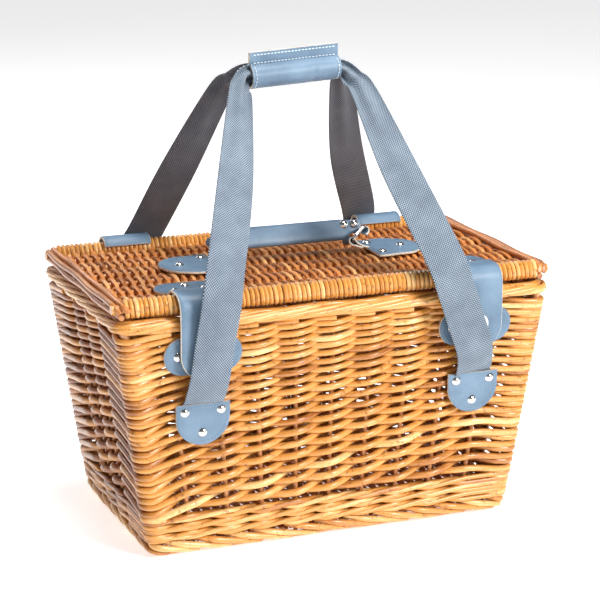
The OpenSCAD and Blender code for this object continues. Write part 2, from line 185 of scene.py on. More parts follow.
def leather(name, deep, base, worn):
    m, t, s = new_material(name)
    where = object_coords(t)
    cloud = noise(t, where, 28.0, 3.0)
    fine = noise(t, where, 900.0, 3.0)
    pores = add(t, "ShaderNodeTexVoronoi", feature="DISTANCE_TO_EDGE")
    pores.inputs["Scale"].default_value = 1100.0
    t.links.new(where, pores.inputs["Vector"])
    colour = ramp(t, cloud, [(0.3, deep), (0.5, base), (0.72, worn)])
    colour = mix(t, 0.22, colour, ramp(t, fine, [(0.35, (0.6, 0.6, 0.62)), (0.7, (1.15, 1.15, 1.1))]),
                 "MULTIPLY")
    t.links.new(colour, s.inputs["Base Color"])
    t.links.new(map_range(t, cloud, 0.34, 0.56), s.inputs["Roughness"])
    s.inputs["Coat Weight"].default_value = 0.12
    s.inputs["Coat Roughness"].default_value = 0.35
    height = math_node(t, "ADD", math_node(t, "MULTIPLY", pores.outputs["Distance"], 1.0),
                       math_node(t, "MULTIPLY", noise(t, where, 120.0, 2.0), 1.6))
    bump(t, s, height, 0.22, 0.0008)
    return m


def suede_edge():
    m, t, s = new_material("leather_cut_edge")
    where = object_coords(t)
    colour = ramp(t, noise(t, where, 700.0, 3.0),
                  [(0.3, (0.42, 0.33, 0.25)), (0.5, (0.74, 0.66, 0.56)), (0.75, (0.86, 0.8, 0.72))])
    t.links.new(colour, s.inputs["Base Color"])
    s.inputs["Roughness"].default_value = 0.85
    bump(t, s, noise(t, where, 1500.0, 2.0), 0.4, 0.0004)
    return m


def webbing(name, dark, base, pale):
    """Plain woven tape: ribs across and along it, RIB_PITCH apart, laid out on the cloth itself."""
    m, t, s = new_material(name)
    split = add(t, "ShaderNodeSeparateXYZ")
    t.links.new(attribute(t, "cloth").outputs["Vector"], split.inputs["Vector"])
    turn = 2 * math.pi / RIB_PITCH
    across = math_node(t, "SINE", math_node(t, "MULTIPLY", split.outputs["X"], turn))
    along = math_node(t, "SINE", math_node(t, "MULTIPLY", split.outputs["Y"], turn))
    cell = math_node(t, "MULTIPLY", across, along)
    height = math_node(t, "ADD", math_node(t, "MULTIPLY", cell, 0.5), 0.5)
    # Painted shade and painted highlight: the colour follows the weave's height, dark in its dips and pale on
    # its ribs.
    colour = ramp(t, height, [(0.15, dark), (0.5, base), (0.9, pale)])
    soft = ramp(t, noise(t, object_coords(t), 45.0, 3.0),
                [(0.3, (0.78, 0.78, 0.8)), (0.7, (1.12, 1.1, 1.08))])
    t.links.new(mix(t, 1.0, colour, soft, "MULTIPLY"), s.inputs["Base Color"])
    s.inputs["Roughness"].default_value = 0.78
    s.inputs["Sheen Weight"].default_value = 0.12
    s.inputs["Sheen Roughness"].default_value = 0.4
    bump(t, s, height, 0.7, 0.0005)
    return m


def thread_material(name, dark, pale):
    m, t, s = new_material(name)
    colour = ramp(t, noise(t, object_coords(t), 1500.0, 2.0), [(0.3, dark), (0.7, pale)])
    t.links.new(colour, s.inputs["Base Color"])
    s.inputs["Roughness"].default_value = 0.6
    return m


def metal(name, tint, roughness):
    m, t, s = new_material(name)
    where = object_coords(t)
    colour = ramp(t, noise(t, where, 160.0, 3.0),
                  [(0.3, tuple(c * 0.8 for c in tint)), (0.6, tint)])
    t.links.new(colour, s.inputs["Base Color"])
    t.links.new(map_range(t, noise(t, where, 420.0, 4.0), roughness * 0.6, roughness * 1.7),
                s.inputs["Roughness"])
    s.inputs["Metallic"].default_value = 1.0
    bump(t, s, noise(t, where, 300.0, 2.0), 0.05, 0.0003)
    return m


WILLOW = willow("willow_golden", (0.30, 0.09, 0.014), (0.66, 0.295, 0.064), (0.90, 0.60, 0.26), 0.26)
WILLOW_SIDE = willow("willow_brown", (0.24, 0.07, 0.016), (0.56, 0.225, 0.06), (0.78, 0.43, 0.18), 0.32)
WILLOW_LID = willow("willow_red_brown", (0.26, 0.07, 0.013), (0.60, 0.22, 0.055), (0.84, 0.46, 0.18), 0.28)
STAKE = willow("willow_stake", (0.22, 0.07, 0.02), (0.52, 0.22, 0.075), (0.74, 0.42, 0.20), 0.4)
LEATHER = leather("leather_blue", (0.085, 0.15, 0.23), (0.12, 0.20, 0.295), (0.16, 0.255, 0.36))
EDGE = suede_edge()
WEB = webbing("webbing_grey_blue", (0.03, 0.047, 0.07), (0.125, 0.175, 0.235), (0.36, 0.43, 0.50))
# Painted shade: the rear webbing is the same grey-blue tape, coloured darker to stand in for the shade and
# backlight it is in.
WEB_PAINTED_SHADE = webbing("webbing_painted_shade", (0.025, 0.026, 0.032), (0.075, 0.078, 0.095), (0.16, 0.165, 0.19))
THREAD = thread_material("thread_blue", (0.14, 0.22, 0.32), (0.26, 0.36, 0.46))
PALE_THREAD = thread_material("thread_pale", (0.5, 0.62, 0.72), (0.8, 0.88, 0.93))
STEEL = metal("nickel", (0.86, 0.86, 0.84), 0.16)
BRASSY = metal("knob_nickel", (0.88, 0.82, 0.70), 0.22)


# ---------------------------------------------------------------- meshes

class Soup:
    """Vertices and faces of one piece, with what its materials need at each vertex."""

    def __init__(self, *materials):
        self.materials = materials
        self.v, self.f, self.mat = [], [], []
        self.tone, self.place, self.cloth = [], [], []

    def vertex(self, co, tone=0.5, place=(0, 0, 0), cloth=(0, 0, 0)):
        self.v.append(tuple(co))
        self.tone.append(tone)
        self.place.append(place)
        self.cloth.append(cloth)
        return len(self.v) - 1

    def face(self, loop, mat=0):
        self.f.append(loop)
        self.mat.append(mat)

    def tube(self, points, radii, tone=None, mat=0, sides=8, flat=1.0, up=None, closed=False):
        """A rod along the points. flat squeezes it along up, for a split rod."""
        tone = rnd.random() if tone is None else tone
        tones = tone if isinstance(tone, list) else [tone] * len(points)
        seed = rnd.random() * 40
        pts = [Vector(p) for p in points]
        n = len(pts)
        radii = radii if isinstance(radii, list) else [radii] * n
        normal = None
        rings, run = [], 0.0
        for i, p in enumerate(pts):
            if closed:
                tangent = (pts[(i + 1) % n] - pts[i - 1]).normalized()
            else:
                tangent = (pts[min(i + 1, n - 1)] - pts[max(i - 1, 0)]).normalized()
            if i:
                run += (p - pts[i - 1]).length
            if up is not None:
                normal = (up - tangent * up.dot(tangent)).normalized()
            elif normal is None:
                normal = tangent.orthogonal().normalized()
            else:
                normal = (normal - tangent * normal.dot(tangent)).normalized()
            side = tangent.cross(normal)
            ring = []
            for k in range(sides):
                a = 2 * math.pi * k / sides
                c, sn = math.cos(a), math.sin(a)
                co = p + normal * (c * radii[i] * flat) + side * (sn * radii[i])
                ring.append(self.vertex(co, tones[i], (run * GRAIN + seed, c * 0.9 + seed, sn * 0.9)))
            rings.append(ring)
        pairs = list(zip(rings, rings[1:])) + ([(rings[-1], rings[0])] if closed else [])
        for a, b in pairs:
            for k in range(sides):
                self.face((a[k], a[(k + 1) % sides], b[(k + 1) % sides], b[k]), mat)
        if not closed:
            self.face(tuple(reversed(rings[0])), mat)
            self.face(tuple(rings[-1]), mat)

    def skin(self, rings, mat_of, flip=False):
        """Quads between rings that close on themselves. mat_of(k) is the material of the kth one."""
        m = len(rings[0])
        for a, b in zip(rings, rings[1:]):
            for k in range(m):
                quad = (a[k], b[k], b[(k + 1) % m], a[(k + 1) % m])
                self.face(tuple(reversed(quad)) if flip else quad, mat_of(k))

    def make(self, name, sharp=50):
        me = bpy.data.meshes.new(name)
        me.from_pydata([(x * MM, y * MM, z * MM) for x, y, z in self.v], [], self.f)
        for key, kind, values in (("rod_tone", "FLOAT", self.tone),
                                  ("rod_place", "FLOAT_VECTOR", self.place),
                                  ("cloth", "FLOAT_VECTOR", self.cloth)):
            at = me.attributes.new(key, kind, "POINT")
            if kind == "FLOAT":
                at.data.foreach_set("value", values)
            else:
                at.data.foreach_set("vector", [c for v in values for c in v])
        for m in self.materials:
            me.materials.append(m)
        me.polygons.foreach_set("material_index", self.mat)
        me.polygons.foreach_set("use_smooth", [True] * len(self.f))
        me.set_sharp_from_angle(angle=math.radians(sharp))
        me.validate()
        obj = bpy.data.objects.new(name, me)
        bpy.context.scene.collection.objects.link(obj)
        return obj


def finish_piece(obj, body, slot, *nodes):
    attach(obj, body)
    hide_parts(*nodes)


# ---------------------------------------------------------------- the woven body

foot_high = node_box("front_foot_border")[1]
rim_low, rim_high = node_box("front_rim")
wall_top = rim_low.z
rim_top = rim_high.z
REAR_HIGH = node_box("rear_rim")[1]
FOOT_REAR = node_box("rear_foot_border")[1]
X0, X1 = foot_high.x - 1, rim_high.x - 2
Y0, Y1 = FOOT_REAR.y - 1, REAR_HIGH.y - 2
SIDES = ("left", "front", "right", "rear")      # in the order the rods run
ALONG = {"left": (0, -1), "front": (1, 0), "right": (0, 1), "rear": (-1, 0)}
OUT = {"left": (-1, 0), "front": (0, -1), "right": (1, 0), "rear": (0, 1)}
FRONT_STAKES = (-0.765, -0.561, -0.379, -0.199, -0.024, 0.155, 0.338, 0.525, 0.727)
SIDE_STAKES = (-0.478, -0.177, 0.166, 0.51)
STAKES = {"left": SIDE_STAKES, "front": FRONT_STAKES, "right": SIDE_STAKES, "rear": FRONT_STAKES}
ROWS = (50.3, 63.3, 75.3, 87.6, 99.2, 110.7, 121.5, 131.8, 143, 152.6, 162.1, 170.9, 178.9,
        187.5, 194.8, 201.8, 209.5, 215.9)
STEP_BELOW, STEP_ABOVE = 12, 6      # between rows that run on below the first and above the last
HALF_ROW = 0.6         # a half row's share of the step to the next row
CORNER_R = 13.0
SWING = 5.6            # how far a rod swings in and out past a stake
FACE = 3.3             # rod centre inside the outer face, where it passes in front
ROD_R, ROD_TAPER = 3.6, 0.9         # at the foot, and how much thinner it is at the top
ROD_WOBBLE = 0.36      # spread of a rod's height at a stake
SHADE_WIDTH = 26       # over which the left wall's painted shade fades at its corners
CORNER_DIP = 0.45      # a rod's drop on its way to a corner, as a share of the first step
DIP_TAPER = 0.45       # and how much of that drop is gone at the top
SPAN_STEPS, LEAD_STEPS, TURN_STEPS = 7, 4, 6        # points between stakes, up to and round a corner
WALE_ROWS = (37.5, 29.0, 20.6)
WALE_R = 2.45
WALE_CYCLE = (-1, 1, 1)             # behind one stake, then in front of two
WALE_LIFT = (0, -2.4, 2.4)
STAKE_HEIGHTS = range(6, 232, 15)


def half(side, z):
    """Half length and half distance of a wall's outer face at a height."""
    x = X0 + (X1 - X0) * z / wall_top
    y = Y0 + (Y1 - Y0) * z / wall_top
    return (x, y) if side in ("front", "rear") else (y, x)


def on_wall(side, u, z, d, halves=None):
    """The point u along a wall from its middle, at height z, d outside its outer face."""
    away = (halves or half(side, z))[1]
    a, o = ALONG[side], OUT[side]
    return Vector((a[0] * u + o[0] * (away + d), a[1] * u + o[1] * (away + d), z))


def round_corner(side, turn, z, d, r=CORNER_R, halves=None):
    """A point on the corner at the end of a wall, turn from 0 to 1 round it."""
    length, away = halves or half(side, z)
    a, o = ALONG[side], OUT[side]
    cu, co = length - r, away - r
    angle = turn * math.pi / 2
    u = cu + (r + d) * math.sin(angle)
    v = co + (r + d) * math.cos(angle)
    return Vector((a[0] * u + o[0] * v, a[1] * u + o[1] * v, z))


stake_list = [(side, t) for side in SIDES for t in STAKES[side]]
COUNT = len(stake_list)
walls = {side: Soup(WILLOW, STAKE) for side in SIDES}


def whole_row_z(row):
    last = len(ROWS) - 1
    return ROWS[max(0, min(row, last))] + min(0, row) * STEP_BELOW + max(0, row - last) * STEP_ABOVE


def row_z(place):
    """Height of a rod at a whole or half row."""
    row = math.floor(place)
    low = whole_row_z(row)
    return low + (whole_row_z(row + 1) - low) * (HALF_ROW if place > row else 0.0)


def thick(z):
    return ROD_R - ROD_TAPER * z / wall_top


def depth(swing):
    """Distance outside the wall's face of a rod: swing is 1 in front of a stake, -1 behind it."""
    return -FACE - SWING * (1 - swing)


def shade(p):
    """Painted shade: 1 on the left wall, whose rods are made darker to stand in for its shade, fading to 0
    round its corners.
    """
    if p.x > 0:
        return 0.0
    from_side = half("front", p.z)[0] + p.x
    from_front = half("front", p.z)[1] - abs(p.y)
    return ease(0.5 + (from_front - from_side) / SHADE_WIDTH)


def weave_run(first, steps, radius, front_of, rise, dip=0.0):
    """One rod past several stakes, at height rise(k). front_of(k) is 1 in front of one, -1 behind."""
    run, tone, owner = [], rnd.random(), stake_list[first % COUNT][0]
    scale = rnd.uniform(0.92, 1.08)

    def flush(next_owner):
        """The run so far goes to its wall. Its last two points also start the next wall's."""
        nonlocal run, owner
        if len(run) > 2:
            # Painted shade: the rods' tone is lowered on the left wall so they render darker there.
            walls[owner].tube([p for p, r in run], [r for p, r in run],
                              [tone - 0.5 * shade(p) for p, r in run])
        run = run[-2:]
        owner = next_owner

    wobble = [rnd.gauss(0, ROD_WOBBLE) for _ in range(steps + 1)]
    for k in range(steps):
        side, t = stake_list[(first + k) % COUNT]
        next_side, next_t = stake_list[(first + k + 1) % COUNT]
        ca, cb = front_of(k), front_of(k + 1)
        za, zb = rise(k) + wobble[k], rise(k + 1) + wobble[k + 1]
        last = k == steps - 1
        if side == next_side:
            for i in range(SPAN_STEPS + last):
                u = i / SPAN_STEPS
                z = za + (zb - za) * u
                swing = (ca + cb) / 2 + (ca - cb) / 2 * math.cos(math.pi * u)
                length = half(side, z)[0]
                run.append((on_wall(side, (t + (next_t - t) * u) * length, z, depth(swing)),
                            radius(z) * scale * (0.985 + 0.055 * swing)))
            continue
        length = half(side, za)[0]
        lead = (1 - t) * length - CORNER_R
        zc = za - dip * (CORNER_DIP * (row_z(1) - row_z(0)) * (1 - DIP_TAPER * za / wall_top))
        for i in range(LEAD_STEPS):
            u = i / LEAD_STEPS
            swing = ca + (1 - ca) * ease(u)
            z = za + (zc - za) * ease(u)
            run.append((on_wall(side, t * length + lead * u, z, depth(swing)), radius(za) * scale))
        for i in range(TURN_STEPS + 1):
            run.append((round_corner(side, i / TURN_STEPS, zc, -FACE), radius(za) * scale * 0.97))
            if i == TURN_STEPS // 2:
                flush(next_side)
        begin = CORNER_R - half(next_side, zc)[0]
        for i in range(1, TURN_STEPS + last):
            u = i / TURN_STEPS
            z = zc + (zb - zc) * u
            swing = 1 + (cb - 1) * ease(u)
            end = next_t * half(next_side, z)[0]
            run.append((on_wall(next_side, begin + (end - begin) * u, z, depth(swing)),
                        radius(z) * scale))
    flush(owner)


# The weave: from each stake a rod climbs half a row at every stake that it passes
for start in range(COUNT):
    weave_run(start - 1, 2 * len(ROWS) + 1, thick, lambda k: 1 if k % 2 else -1,
              lambda k: row_z((k - 1) / 2), dip=1.0)

# Waling under the weave: three rows, each of three rods that pass two stakes and go behind one
for level, wale_z in enumerate(WALE_ROWS):
    for phase in range(3):
        weave_run(phase + level, COUNT + 1, lambda z: WALE_R, lambda k: WALE_CYCLE[k % 3],
                  lambda k, z0=wale_z: z0 + WALE_LIFT[k % 3])

# Upright stakes, with their cut ends in the foot
for side, t in stake_list:
    for shift in ((-2.4, 2.4) if side in ("right", "rear") else (0,)):
        pts = [on_wall(side, t * half(side, z)[0] + shift, z, depth(0)) for z in STAKE_HEIGHTS]
        walls[side].tube(pts, 2.3, rnd.uniform(0.2, 0.8), 1)

for side in SIDES:
    finish_piece(walls[side].make(side + "_weave"), "basket", "willow", side + "_wall")

# Corner posts
posts = Soup(STAKE)
for side in SIDES:
    pts = [round_corner(side, 0.5, z, -9.5) for z in STAKE_HEIGHTS]
    posts.tube(pts, 4.2, rnd.random())
finish_piece(posts.make("corner_post_rods"), "basket", "willow_dark", "corner_posts")


def border_point(side, s, z, d, halves, r):
    """A point s along a border from the start of a side's straight part, wrapping past its end."""
    straight = 2 * (halves[side][0] - r)
    arc = math.pi / 2 * r
    while s > straight + arc:
        s -= straight + arc
        side = SIDES[(SIDES.index(side) + 1) % 4]
        straight = 2 * (halves[side][0] - r)
    if s <= straight:
        return on_wall(side, s - straight / 2, z, d, halves[side])
    return round_corner(side, (s - straight) / arc, z, d, r, halves[side])


def border(name, halves, r, spacing, stroke, radius, node, tone_low, extra=()):
    """A plaited border: short rods that come out, run along and tuck in again."""
    for side in SIDES:
        soup = Soup(WILLOW)
        total = 2 * (halves[side][0] - r) + math.pi / 2 * r
        count = round(total / spacing)
        for i in range(count):
            s0 = i * total / count + rnd.gauss(0, 1.2)
            scale = rnd.uniform(0.92, 1.06)
            lift = rnd.gauss(0, 0.3)
            n = 16
            pts = []
            for j in range(n + 1):
                u = j / n
                ds, z, d = stroke(u)
                pts.append(border_point(side, max(0.0, s0 + ds), z + lift, d, halves, r))
            soup.tube(pts, [radius * scale * (0.8 + 0.2 * math.sin(math.pi * min(1, (j / n) * 1.6)))
                            for j in range(n + 1)], tone_low + (1 - tone_low) * rnd.random())
        for z, d, rad in extra:
            pts = [border_point(side, total * j / 60, z + 0.7 * math.sin(j * 0.55 + z), d, halves, r)
                   for j in range(61)]
            soup.tube(pts, rad, rnd.random())
        finish_piece(soup.make(f"{side}_{name}"), "basket", "willow", node.format(side))


def foot_stroke(u):
    inside = ease(abs(u - 0.5) * 2 / 0.9 - 0.35) * 7.5
    return 68 * u, 15.4 - 11.8 * u, -FACE - inside


def rim_stroke(u):
    inside = ease(abs(u - 0.5) * 2 / 0.75 - 0.42) * 6.5
    return 128 * u, wall_top + 2.9 + (rim_top - wall_top - 5.9) * ease(u), -2.9 - inside


def all_halves(x, y):
    return {s: (x, y) if s in ("front", "rear") else (y, x) for s in SIDES}


border("foot_plait", all_halves(foot_high.x, FOOT_REAR.y), 16, 31, foot_stroke, 3.3, "{}_foot_border", 0.1,
       ((4.5, -10.5, 3.0),))
border("rim_plait", all_halves(rim_high.x, REAR_HIGH.y), 18, 33, rim_stroke, 2.9, "{}_rim", 0.35,
       ((wall_top + 3.2, -11, 3.0), (rim_top - 3.4, -10.5, 3.0), (wall_top + 7.2, -7.4, 3.2)))

# The woven base
base_low, base_high = node_box("base_panel")
base = Soup(WILLOW_LID)
mid = (base_low.z + base_high.z) / 2
bars = [base_low.y + 12 + i * (base_high.y - base_low.y - 24) / 6 for i in range(7)]
for y in bars:
    base.tube([(base_low.x + 1 + (base_high.x - base_low.x - 2) * i / 24, y, mid) for i in range(25)],
              2.6)
columns = int((base_high.x - base_low.x - 6) / 5.2)
for c in range(columns + 1):
    x = base_low.x + 3 + c * (base_high.x - base_low.x - 6) / columns
    sign = 1 if c % 2 else -1
    pts = [(x + rnd.gauss(0, 0.15), base_low.y + 1, mid)]
    for i in range(len(bars)):
        for u in ((-0.3, 0.0, 0.3) if i < len(bars) - 1 else (-0.3, 0.0)):
            y = bars[i] + u * (bars[1] - bars[0])
            pts.append((x + rnd.gauss(0, 0.1), y, mid + sign * (-1) ** i * 2.3 * math.cos(u * math.pi)))
    pts.append((x, base_high.y - 1, mid))
    base.tube(pts, 2.35, sides=6, flat=0.8, up=Vector((0, 0, 1)))
finish_piece(base.make("base_weave"), "basket", "willow_dark", "base_panel")


# ---------------------------------------------------------------- the lid

panel_low, panel_high = node_box("lid_panel")
roll_low, roll_high = node_box("lid_front_roll")
end_low, end_high = node_box("lid_end_right")
roll_r = (roll_high.z - roll_low.z) / 2
roll_z = (roll_high.z + roll_low.z) / 2
roll_y = -(roll_high.y + roll_low.y) / 2
panel_z = (panel_low.z + panel_high.z) / 2
UP = Vector((0, 0, 1))

panel = Soup(WILLOW_LID)
sticks = [-85, -51, -17, 17, 51, 85]
for y in sticks:
    n = 40
    pts = [(-end_high.x + 2 + (2 * end_high.x - 4) * i / n, y + 0.5 * math.sin(i * 0.7 + y), panel_z)
           for i in range(n + 1)]
    panel.tube(pts, 3.2, sides=8)
half_x = panel_high.x - 1.5
pitch_count = round(2 * half_x / 4.15)
edges = [-roll_y - 2] + sticks + [roll_y + 2]
for c in range(pitch_count + 1):
    x = -half_x + 2 * half_x * c / pitch_count
    sign = 1 if c % 2 else -1
    lean = rnd.gauss(0, 0.35)
    pts = []
    for i in range(len(edges) - 1):
        y0, y1 = edges[i], edges[i + 1]
        a = sign * (-1) ** i
        for j in range(8):
            u = j / 8
            wave = math.cos(math.pi * u)
            up_down = a * math.copysign(abs(wave) ** 0.6, wave)
            y = y0 + (y1 - y0) * u
            pts.append((x + 0.9 * math.sin(y * 0.047 + c * 0.13) + lean * u, y, panel_z + 4.3 * up_down))
    pts.append((x, edges[-1], panel_z - sign * 4.0))
    panel.tube(pts, 2.25, sides=7, flat=0.8, up=UP)
finish_piece(panel.make("lid_weave"), "lid", "willow_dark", "lid_panel")

for name, sy in (("lid_front_roll", -1), ("lid_rear_roll", 1)):
    soup = Soup(WILLOW)
    n = 20
    soup.tube([(-end_high.x + 0.6 + (2 * end_high.x - 1.2) * i / n, sy * roll_y, roll_z)
               for i in range(n + 1)], 4.4, 0.35, sides=12)
    turn_r = roll_r - 2.15
    wraps = round(2 * half_x / 4.6)
    for c in range(wraps + 1):
        x = -half_x + 2 * half_x * c / wraps
        ring = 18
        shift = rnd.gauss(0, 0.18)
        wide = rnd.uniform(0.96, 1.04)
        pts = []
        for i in range(ring):
            a = 2 * math.pi * i / ring
            pts.append((x + shift + 1.5 * math.cos(a + 0.6), sy * roll_y + turn_r * math.cos(a) * wide,
                        roll_z + turn_r * math.sin(a)))
        soup.tube(pts, 2.25, rnd.uniform(0.2, 1.0), sides=7, closed=True)
    finish_piece(soup.make(name + "_wraps"), "lid", "willow", name)

for name, sx in (("lid_end_left", -1), ("lid_end_right", 1)):
    soup = Soup(WILLOW_LID, WILLOW_SIDE)
    x_in, x_out = end_low.x + 3.1, end_high.x - 3.1
    z_in, z_out = end_low.z + 3.1, end_high.z - 3.1
    lanes = [(x_in, z_out), (x_out, z_out - 1.5), (x_out, z_in + 3.2), (x_in + 1, z_in),
             (x_in + 2, panel_z + 0.5)]
    for lane, (x, z) in enumerate(lanes):
        y_end = end_high.y - 5 - 4 * (lane % 3)
        n = 30
        pts = []
        for i in range(n + 1):
            y = -y_end + 2 * y_end * i / n
            pts.append((sx * (x + 0.5 * math.sin(i * 0.5 + lane * 2)), y,
                        z + 0.6 * math.sin(i * 0.42 + lane * 1.3)))
        if lane in (0, 1):      # these bend down round the front corner
            pts = [(sx * (x - 4), -y_end - 5.0, z - 5.5), (sx * (x - 1.5), -y_end - 4.0, z - 2.0)] + pts[1:]
        soup.tube(pts, 2.9, rnd.random(), lane % 2, sides=9)
    finish_piece(soup.make(name + "_rods"), "lid", "willow_dark", name)


# ---------------------------------------------------------------- leather and webbing

THETA = math.atan((Y1 - Y0) / wall_top)


def at_front(x, z):
    """Frame on the front wall's outer face: X along it, Y up it, Z outwards, in millimetres."""
    return (Matrix.Translation((0, -Y0, 0)) @ Matrix.Rotation(math.pi / 2 + THETA, 4, "X")
            @ Matrix.Translation((x, z / math.cos(THETA), 0)))


def at_rear(x, z):
    return Matrix.Rotation(math.pi, 4, "Z") @ at_front(-x, z)


def arc(cx, cy, r, a0, a1, n):
    return [(cx + r * math.cos(math.radians(a0 + (a1 - a0) * i / n)),
             cy + r * math.sin(math.radians(a0 + (a1 - a0) * i / n))) for i in range(n + 1)]


def inset(outline, amount):
    """The same outline, smaller. Outlines run anticlockwise."""
    n = len(outline)
    out = []
    for i in range(n):
        a, b, c = Vector(outline[i - 1]), Vector(outline[i]), Vector(outline[(i + 1) % n])
        d0, d1 = (b - a).normalized(), (c - b).normalized()
        n0, n1 = Vector((-d0.y, d0.x)), Vector((-d1.y, d1.x))
        m = (n0 + n1)
        m = m.normalized() if m.length > 1e-6 else n0
        out.append(tuple(b + m * (amount / max(0.35, m.dot(n0)))))
    return out


def add_patch(soup, outline, z0, z1, matrix, shape=None):
    """Cut leather with rounded arrises: rings of the outline, closed with a grid-like fan inside."""
    e = 0.45
    levels = [(e, z0), (0.0, z0 + e), (0.0, z1 - e), (e * 0.5, z1 - e * 0.3), (e * 1.6, z1)]
    rings = []
    for amount, z in levels:
        pts = inset(outline, amount) if amount else outline
        rings.append([(x, y, z) for x, y in pts])
    centre = (sum(x for x, _ in outline) / len(outline), sum(y for _, y in outline) / len(outline))
    top = rings[-1]
    for share in (0.86, 0.68, 0.48, 0.26):
        rings.append([(centre[0] + (x - centre[0]) * share, centre[1] + (y - centre[1]) * share, z1)
                      for x, y, _ in top])
    index = []
    for ring in rings:
        row = []
        for x, y, z in ring:
            if shape:
                z = z + shape(x, y)
            row.append(soup.vertex(matrix @ Vector((x, y, z)), cloth=(x, y, 0)))
        index.append(row)
    n = len(outline)
    for r in range(len(index) - 1):
        mat = 1 if r in (0, 1) else 0
        for i in range(n):
            soup.face((index[r][i], index[r][(i + 1) % n], index[r + 1][(i + 1) % n], index[r + 1][i]), mat)
    soup.face(tuple(reversed(index[0])), 0)
    soup.face(tuple(index[-1]), 0)


def add_stitches(soup, points, closed=False, pitch=3.1, length=2.0, radius=0.36, mat=2):
    """Short threads laid along a line of points."""
    pts = [Vector(p) for p in points]
    if closed:
        pts.append(pts[0])
    total = sum((b - a).length for a, b in zip(pts, pts[1:]))
    count = max(1, int(total / pitch))

    def at(s):
        for a, b in zip(pts, pts[1:]):
            step = (b - a).length
            if s <= step or step == 0:
                return a.lerp(b, s / step if step else 0)
            s -= step
        return pts[-1]

    for i in range(count):
        s = (i + 0.5) * total / count
        a, m, b = at(s - length / 2), at(s), at(s + length / 2)
        if (b - a).length > 0.2:
            soup.tube([a, m, b], [radius * 0.55, radius, radius * 0.55], 0.5, mat, sides=5)


def stadium(length, width, n=14):
    r = width / 2
    return arc(length / 2 - r, 0, r, -90, 90, n) + arc(r - length / 2, 0, r, 90, 270, n)


def patch_piece(name, body, node, outline, z0, matrix, stitch_in=3.0, shape=None):
    """A flat piece of leather from z0 up, stitched round stitch_in from its edge."""
    z1 = z0 + LEATHER_THICK
    soup = Soup(LEATHER, EDGE, THREAD)
    add_patch(soup, outline, z0, z1, matrix, shape)
    line = [(x, y, z1 + 0.12 + (shape(x, y) if shape else 0)) for x, y in inset(outline, stitch_in)]
    add_stitches(soup, [matrix @ Vector(co) for co in line], True)
    finish_piece(soup.make(name), body, "leather", node)


def node_x(name):
    low, high = node_box(name)
    return (low.x + high.x) / 2


def dense_line(a, b, n):
    return [(a[0] + (b[0] - a[0]) * i / n, a[1] + (b[1] - a[1]) * i / n) for i in range(n)]


ANCHOR = (arc(0, -14, 26, 180, 360, 28) + dense_line((26, -14), (26, 0), 4)[1:]
          + dense_line((26, 0), (-26, 0), 14) + dense_line((-26, 0), (-26, -14), 4))
ANCHOR_Z = 153
LATCH_Z = 200
HINGE_Z = 221


def crease(x, y):
    """A soft fold across the leather, from lower left to upper right."""
    d = (x * 0.6 - (y + 18) * 0.8)
    return -0.5 * math.exp(-(d / 2.2) ** 2) + 0.5 * math.exp(-((d + 4.5) / 3.5) ** 2)


def soft(x, y):
    return 0.35 * math.sin(x * 0.11 + 1) * math.cos(y * 0.13)


for place, frame_at in (("front", at_front), ("rear", at_rear)):
    for side in ("left", "right"):
        node = f"{place}_anchor_{side}"
        x = node_x(node)
        bend = (lambda a, b: soft(a, b) + crease(a, b)) if side == "right" else soft
        patch_piece(node + "_leather", "basket", node, ANCHOR, 1.8, frame_at(x, ANCHOR_Z), 3.2, bend)

for side in ("left", "right"):
    node = f"latch_patch_{side}"
    patch_piece(node + "_leather", "basket", node, stadium(75, 36), 0.1,
                at_front(node_x(node), LATCH_Z))
    node = f"hinge_leaf_{side}"
    leaf = (dense_line((-24, -40), (24, -40), 10) + dense_line((24, -40), (24, 0), 8)
            + dense_line((24, 0), (-24, 0), 10) + dense_line((-24, 0), (-24, -40), 8))
    patch_piece(node + "_leather", "basket", node, leaf, 2.3, at_rear(node_x(node), HINGE_Z))


def catmull(points, steps):
    """A smooth run through rows of numbers."""
    out = []
    n = len(points)
    for i in range(n - 1):
        p0, p1, p2, p3 = points[max(i - 1, 0)], points[i], points[i + 1], points[min(i + 2, n - 1)]
        for j in range(steps):
            u = j / steps
            out.append([0.5 * (2 * b + (c - a) * u + (2 * a - 5 * b + 4 * c - d) * u * u
                               + (3 * b - a - 3 * c + d) * u ** 3)
                        for a, b, c, d in zip(p0, p1, p2, p3)])
    out.append(list(points[-1]))
    return out


def add_band(soup, points, sides_of, halves, thick_t, profile, across=8, edge=True):
    """A strap swept along points. sides_of(i) is its width direction, profile(i, t) its lift at t."""
    e = min(0.5, thick_t * 0.3)
    n = len(points)
    pts = [Vector(p) for p in points]
    rings, run = [], 0.0
    for i in range(n):
        tangent = (pts[min(i + 1, n - 1)] - pts[max(i - 1, 0)]).normalized()
        side = sides_of(i)
        side = (side - tangent * side.dot(tangent)).normalized()
        normal = side.cross(tangent)
        if i:
            run += (pts[i] - pts[i - 1]).length
        h = halves[i]
        row = []
        section = []
        for k in range(across + 1):
            t = -1 + 2 * k / across
            section.append((t * (h - e), thick_t / 2, t))
        section.append((h, thick_t / 2 - e, 1))
        section.append((h, -thick_t / 2 + e, 1))
        for k in range(across + 1):
            t = 1 - 2 * k / across
            section.append((t * (h - e), -thick_t / 2, t))
        section.append((-h, -thick_t / 2 + e, -1))
        section.append((-h, thick_t / 2 - e, -1))
        for w, lift, t in section:
            dx, dz = profile(i, t)
            row.append(soup.vertex(pts[i] + side * (w + dx) + normal * (lift + dz),
                                   cloth=(t * 19, run, 0)))
        rings.append(row)
    soup.skin(rings, lambda k: int(edge and (across <= k <= across + 2 or k >= 2 * across + 3)))
    soup.face(tuple(rings[0]), int(edge))
    soup.face(tuple(reversed(rings[-1])), int(edge))


XDIR = Vector((1, 0, 0))
BAND_HALF = 24.0        # half the width of the latch straps and hinge loops

